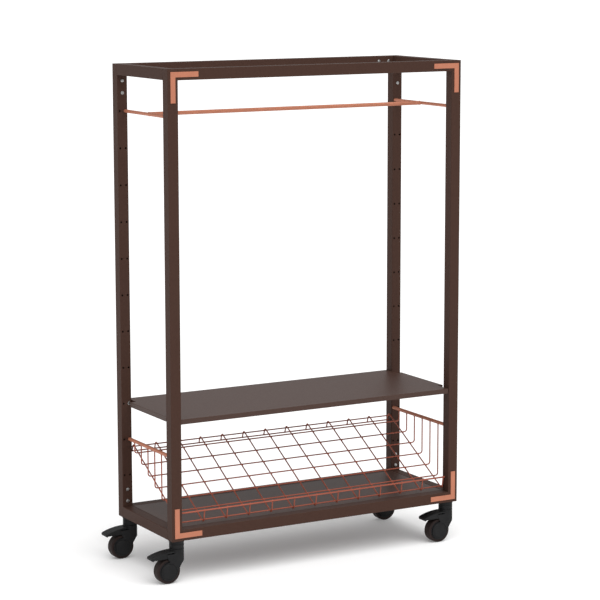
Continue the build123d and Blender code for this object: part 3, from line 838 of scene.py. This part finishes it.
def pedal_field(x, y, z):
    depth = np.abs(y)
    from_axis = np.hypot(x, y)
    from_pivot = np.hypot(x - PIVOT[0], z - PIVOT[1])
    # plan view: straight sides, rounded corners at the tip
    px, py = (-90.0 + TIP_CORNER) - x, depth - (LEG_OUTER - TIP_CORNER)
    plan = np.where(
        (px > 0) & (py > 0), np.hypot(px, py) - TIP_CORNER, np.maximum(px, py) - TIP_CORNER
    )
    hood = slab(inside_outline(x, z, PEDAL_OUTLINE), plan, 1.2)
    hollow = np.maximum(inside_outline(x, z, HOLLOW_OUTLINE), plan + 2.6)
    shell = ease_max(hood, -hollow, 0.6)
    # the gap over the cheeks is a wedge that closes as the pedal is pressed
    wedge = z - (CHEEK_TOP + 0.5) - np.maximum(PIVOT[0] - x, 0) * PRESS
    cheek_gap = np.maximum(from_pivot - SKIRT_R, wedge)
    shell = ease_max(shell, -cheek_gap, 0.6)
    shell = ease_max(shell, COLLAR_R + 0.8 - from_axis, 0.6)
    for rx, rz in RIBS:
        rib = np.maximum(np.hypot(x - rx, z - rz + 0.35) - 1.0, depth - 13.0)
        shell = ease_min(shell, rib, 0.7)
    arm = np.minimum(inside_outline(x, z, SHOE_OUTLINE), from_pivot - 7.0)
    arm = slab(arm, depth - 15.4, 0.5)
    trunnion = np.maximum(from_pivot - 3.0, depth - 18.5)
    return np.minimum(ease_min(shell, arm, 0.8), trunnion)


def collar_profile():
    """Fixed collar under the post: a rim, a groove below it, and a rounded foot."""
    outside = [
        (9.0, 0.0),
        (22.4, 0.0),
        (23.0, -0.6),
        (23.0, -4.6),
        (22.7, -5.2),
        (22.0, -6.0),
        (22.0, -9.4),
        (20.7, -9.8),
        (20.7, -11.6),
        (22.0, -12.0),
        (22.0, -23.0),
        (21.7, -23.7),
        (21.0, -24.0),
    ]
    inside = [(16.5, -24.0), (16.5, -10.0), (6.0, -10.0), (6.0, -3.0), (9.0, -3.0)]
    return [(r * MM, z * MM) for r, z in outside + inside]


def tyre_profile():
    """Crowned tread with round shoulders, a mould line and stepped side walls."""
    half, shoulder, crown = 15.0, 3.2, 0.15
    right = [(29.0, half - 1.0), (31.0, half - 0.4), (WHEEL_R - shoulder - 0.4, half)]
    for k in range(7):
        a = math.pi / 2 * k / 6
        right.append(
            (
                WHEEL_R - crown - shoulder + shoulder * math.sin(a),
                half - shoulder + shoulder * math.cos(a),
            )
        )
    right += [
        (WHEEL_R - 0.2, half - shoulder - 3.0),
        (WHEEL_R - 0.02, 2.0),
        (WHEEL_R - 0.02, 0.5),
        (WHEEL_R, 0.25),
    ]
    left = [(r, -z) for r, z in reversed(right)]
    return [(r * MM, z * MM) for r, z in right + left]


def wheel_profile():
    """Wheel centre: rim with a lip, thin web, and a hub on the axle."""
    right = [
        (4.05, 14.5),
        (10.0, 14.5),
        (11.0, 13.5),
        (11.4, 5.5),
        (12.8, 4.2),
        (24.0, 4.0),
        (25.6, 5.4),
        (26.0, 13.6),
        (26.8, 14.5),
        (28.6, 14.5),
        (29.0, 14.0),
    ]
    left = [(r, -z) for r, z in reversed(right)]
    return [(r * MM, z * MM) for r, z in right + left]


def build_casters():
    fork_points, fork_faces = surface(fork_field, (-62, -24, -120), (25, 24, -22), MOULD_STEP)
    pedal_points, pedal_faces = surface(pedal_field, (-93, -23, -57), (-5, 23, -27), MOULD_STEP)
    for caster in CASTERS:
        axis = Vector(JOINTS[f"{caster}_swivel_turn"]["pos_m"])
        place = Matrix.Translation((axis.x, axis.y, UNDERSIDE)) @ Matrix.Scale(MM, 4)
        hub = Matrix.Translation((axis.x - TRAIL * MM, axis.y, UNDERSIDE + WHEEL_Z * MM))
        hub = hub @ Matrix.Rotation(math.pi / 2, 4, "X")
        mesh = Mesh()
        mesh.add(*lathe(collar_profile(), 72), Matrix.Translation((axis.x, axis.y, UNDERSIDE)))
        add_piece(mesh, f"{caster}_collar", "black_plastic", replaces=["caster_collars"])
        mesh = Mesh()
        mesh.add(fork_points, fork_faces, place)
        add_piece(
            mesh,
            f"{caster}_hood",
            "black_plastic",
            body=f"{caster}_swivel",
            replaces=[f"{caster}_fork"],
            sharp=60,
        )
        mesh = Mesh()
        mesh.add(pedal_points, pedal_faces, place)
        add_piece(
            mesh,
            f"{caster}_pedal",
            "black_plastic",
            body=f"{caster}_brake",
            replaces=[f"{caster}_brake_pedal"],
            sharp=60,
        )
        mesh = Mesh()
        mesh.add(*lathe(wheel_profile(), 64), hub)
        add_piece(
            mesh,
            f"{caster}_wheel_centre",
            "wheel_plastic",
            body=f"{caster}_wheel_set",
            replaces=[f"{caster}_wheel"],
        )
        mesh = Mesh()
        mesh.add(*lathe(tyre_profile(), 96), hub)
        add_piece(
            mesh,
            f"{caster}_tread",
            "tyre_rubber",
            body=f"{caster}_wheel_set",
            replaces=[f"{caster}_tyre"],
        )


build_casters()


# ------------------------------------------------------------------ floor, light and camera
SOFT_BOX_POWER = 2.1
SOFT_BOX_WIDTH = 60.0       # degrees across, as seen from the rack
SOFT_BOX_HEIGHT = 60.0
SOFT_BOX_TURN = 0.0
SKY_STRENGTH = 0.62
FLOOR_REACH = 150.0
FLOOR_WHITE = (0.9, 0.9, 0.9)
FLOOR_GLOW = 0.14


def build_stage():
    turn = np.linspace(0, 2 * math.pi, 96, endpoint=False)
    points = [(FLOOR_REACH * math.cos(a), FLOOR_REACH * math.sin(a), 0.0) for a in turn]
    mesh = bpy.data.meshes.new("studio_floor")
    mesh.from_pydata(points, [], [tuple(range(len(points)))])
    material, _, _, shader = build_material("pale_floor", FLOOR_WHITE, 0.9, specular=0.0)
    # the paper glows a little, as under a light table, which keeps the shadow soft
    shader.inputs["Emission Color"].default_value = (1, 1, 1, 1)
    shader.inputs["Emission Strength"].default_value = FLOOR_GLOW
    mesh.materials.append(material)
    floor = bpy.data.objects.new("studio_floor", mesh)
    bpy.context.scene.collection.objects.link(floor)

    world = bpy.data.worlds.new("studio")
    world.use_nodes = True
    sky = world.node_tree.nodes["Background"]
    sky.inputs["Color"].default_value = (1, 1, 1, 1)
    sky.inputs["Strength"].default_value = SKY_STRENGTH
    bpy.context.scene.world = world

    # one wide soft box in front and above, which throws the shadow backwards
    sun = bpy.data.lights.new("soft_box", "SUN")
    sun.energy = SOFT_BOX_POWER
    sun.angle = math.radians(SOFT_BOX_WIDTH)
    lamp = bpy.data.objects.new("soft_box", sun)
    lamp.rotation_euler = (math.radians(90 - SOFT_BOX_HEIGHT), 0, math.radians(SOFT_BOX_TURN))
    bpy.context.scene.collection.objects.link(lamp)


# The camera stands in front and to the left, turned towards +X, and looks slightly down.
CAMERA_AT = (-3.2976, -5.9274, 1.8556)
CAMERA_TURN = 29.6013       # degrees
CAMERA_TILT = -8.9562
CAMERA_ROLL = -0.0837
CAMERA_LENS = 134.449


def build_camera():
    turn, tilt, roll = (math.radians(a) for a in (CAMERA_TURN, CAMERA_TILT, CAMERA_ROLL))
    forward = Vector(
        (math.sin(turn) * math.cos(tilt), math.cos(turn) * math.cos(tilt), math.sin(tilt))
    )
    right = Vector((math.cos(turn), -math.sin(turn), 0))
    up = right.cross(forward)
    right, up = (
        right * math.cos(roll) + up * math.sin(roll),
        up * math.cos(roll) - right * math.sin(roll),
    )
    data = bpy.data.cameras.new("camera")
    data.lens = CAMERA_LENS
    data.sensor_width = 36
    data.clip_end = 500
    camera = bpy.data.objects.new("camera", data)
    basis = Matrix((right, up, -forward)).transposed().to_4x4()
    camera.matrix_world = Matrix.Translation(CAMERA_AT) @ basis
    bpy.context.scene.collection.objects.link(camera)
    bpy.context.scene.camera = camera


build_stage()
build_camera()
bpy.context.scene.view_settings.view_transform = "Standard"
